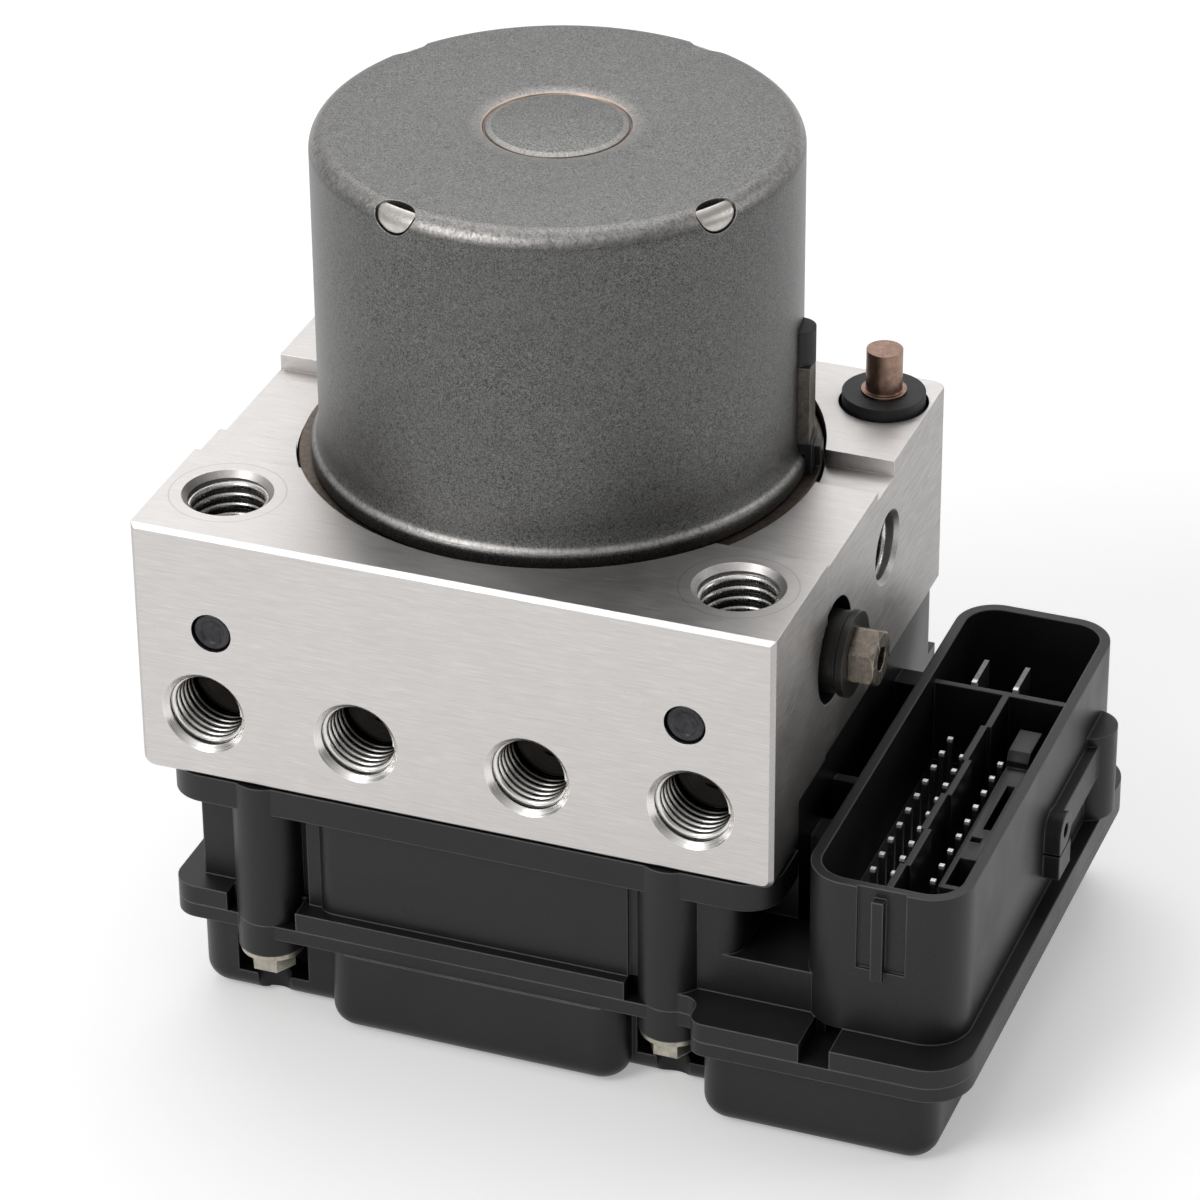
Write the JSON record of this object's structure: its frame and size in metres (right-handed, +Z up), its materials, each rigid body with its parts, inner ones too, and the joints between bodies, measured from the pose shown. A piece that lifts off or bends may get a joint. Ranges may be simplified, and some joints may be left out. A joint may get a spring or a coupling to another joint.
{
  "type": "abs brake module",
  "caption": "Anti-lock brake module: aluminium valve block with threaded line ports, round pump motor on top, and a black control unit with a socket below.",
  "frame": {"origin": "on the motor axis, at the level of the cover's underside, on which the module stands", "axes": "+Z up the motor axis, -Y towards the face with the four wheel ports, +X towards the socket"},
  "size_m": [0.1322, 0.0922, 0.1347],
  "materials": {
    "block_aluminium": "milled",
    "motor_steel": "satin",
    "shield_steel": "bare",
    "flange_steel": "satin",
    "shaft_steel": "ground",
    "core_steel": "stacked",
    "copper": "enamelled",
    "bush_bronze": "sintered",
    "magnet": "ground",
    "brush_carbon": "matte",
    "unit_plastic": "satin",
    "board_green": "satin",
    "terminal_tin": "bright",
    "screw_zinc": "zinc plated",
    "bolt_bronze": "plated",
    "pin_copper": "plated",
    "rubber": "matte",
    "strip_metal": "worn",
    "plug_steel": "darkened",
    "spring_steel": "drawn"
  },
  "bodies": {
    "module": {"hydraulic_block": "block_aluminium", "front_plugs": "plug_steel", "side_bush": "rubber", "side_bolt": "bolt_bronze", "pin_grommet": "rubber", "mounting_pin": "pin_copper", "motor_can": "motor_steel", "motor_end_shield": "shield_steel", "motor_flange": "flange_steel", "lower_shaft_bush": "bush_bronze", "upper_shaft_bush": "bush_bronze", "motor_side_strip": "strip_metal", "strip_clip": "unit_plastic", "strip_cap": "rubber", "field_magnets": "magnet", "brush_plate": "unit_plastic", "carbon_brushes": "brush_carbon", "pump_piston_left": "shaft_steel", "pump_piston_right": "shaft_steel", "pump_sleeve_left": "bush_bronze", "pump_sleeve_right": "bush_bronze", "pump_spring_left": "spring_steel", "pump_spring_right": "spring_steel", "pump_closing_plug": "block_aluminium", "accumulator_spring_left": "spring_steel", "accumulator_spring_right": "spring_steel", "accumulator_cap_left": "block_aluminium", "accumulator_cap_right": "block_aluminium", "inlet_valve_bodies": "shaft_steel", "outlet_valve_bodies": "shaft_steel", "valve_coils": "copper", "ecu_housing": "unit_plastic", "ecu_cover": "unit_plastic", "ecu_seal": "rubber", "circuit_board": "board_green", "power_blades": "terminal_tin", "terminal_guard": "unit_plastic", "terminal_row_one": "terminal_tin", "terminal_row_two": "terminal_tin", "terminal_row_three": "terminal_tin", "housing_screws": "screw_zinc", "screw_washers": "screw_zinc"},
    "rotor": {"motor_shaft": "shaft_steel", "eccentric_bearing": "shaft_steel", "armature_core": "core_steel", "armature_winding": "copper", "commutator": "copper"},
    "left_store_piston": {"accumulator_piston_left": "block_aluminium"},
    "right_store_piston": {"accumulator_piston_right": "block_aluminium"},
    "inlet_plunger_1": {"inlet_valve_plunger_1": "shaft_steel"},
    "inlet_plunger_2": {"inlet_valve_plunger_2": "shaft_steel"},
    "inlet_plunger_3": {"inlet_valve_plunger_3": "shaft_steel"},
    "inlet_plunger_4": {"inlet_valve_plunger_4": "shaft_steel"},
    "outlet_plunger_1": {"outlet_valve_plunger_1": "shaft_steel"},
    "outlet_plunger_2": {"outlet_valve_plunger_2": "shaft_steel"},
    "outlet_plunger_3": {"outlet_valve_plunger_3": "shaft_steel"},
    "outlet_plunger_4": {"outlet_valve_plunger_4": "shaft_steel"}
  },
  "joints": [
    {"name": "rotor_spin", "type": "hinge", "parent": "module", "child": "rotor", "pos_m": [0, 0, 0.1], "axis": [0, 0, 1], "continuous": true},
    {"name": "left_store_slide", "type": "slide", "parent": "module", "child": "left_store_piston", "axis": [0, 1, 0], "range_m": [0, 0.004], "stiffness_N_per_m": 1500, "springref_m": -0.002, "deforming": ["accumulator_spring_left"]},
    {"name": "right_store_slide", "type": "slide", "parent": "module", "child": "right_store_piston", "axis": [0, 1, 0], "range_m": [0, 0.004], "stiffness_N_per_m": 1500, "springref_m": -0.002, "deforming": ["accumulator_spring_right"]},
    {"name": "inlet_plunger_1_slide", "type": "slide", "parent": "module", "child": "inlet_plunger_1", "axis": [0, 0, 1], "range_m": [0, 0.0004], "stiffness_N_per_m": 1000, "springref_m": -0.0003},
    {"name": "inlet_plunger_2_slide", "type": "slide", "parent": "module", "child": "inlet_plunger_2", "axis": [0, 0, 1], "range_m": [0, 0.0004], "stiffness_N_per_m": 1000, "springref_m": -0.0003},
    {"name": "inlet_plunger_3_slide", "type": "slide", "parent": "module", "child": "inlet_plunger_3", "axis": [0, 0, 1], "range_m": [0, 0.0004], "stiffness_N_per_m": 1000, "springref_m": -0.0003},
    {"name": "inlet_plunger_4_slide", "type": "slide", "parent": "module", "child": "inlet_plunger_4", "axis": [0, 0, 1], "range_m": [0, 0.0004], "stiffness_N_per_m": 1000, "springref_m": -0.0003},
    {"name": "outlet_plunger_1_slide", "type": "slide", "parent": "module", "child": "outlet_plunger_1", "axis": [0, 0, 1], "range_m": [0, 0.0004], "stiffness_N_per_m": 1000, "springref_m": -0.0003},
    {"name": "outlet_plunger_2_slide", "type": "slide", "parent": "module", "child": "outlet_plunger_2", "axis": [0, 0, 1], "range_m": [0, 0.0004], "stiffness_N_per_m": 1000, "springref_m": -0.0003},
    {"name": "outlet_plunger_3_slide", "type": "slide", "parent": "module", "child": "outlet_plunger_3", "axis": [0, 0, 1], "range_m": [0, 0.0004], "stiffness_N_per_m": 1000, "springref_m": -0.0003},
    {"name": "outlet_plunger_4_slide", "type": "slide", "parent": "module", "child": "outlet_plunger_4", "axis": [0, 0, 1], "range_m": [0, 0.0004], "stiffness_N_per_m": 1000, "springref_m": -0.0003}
  ]
}
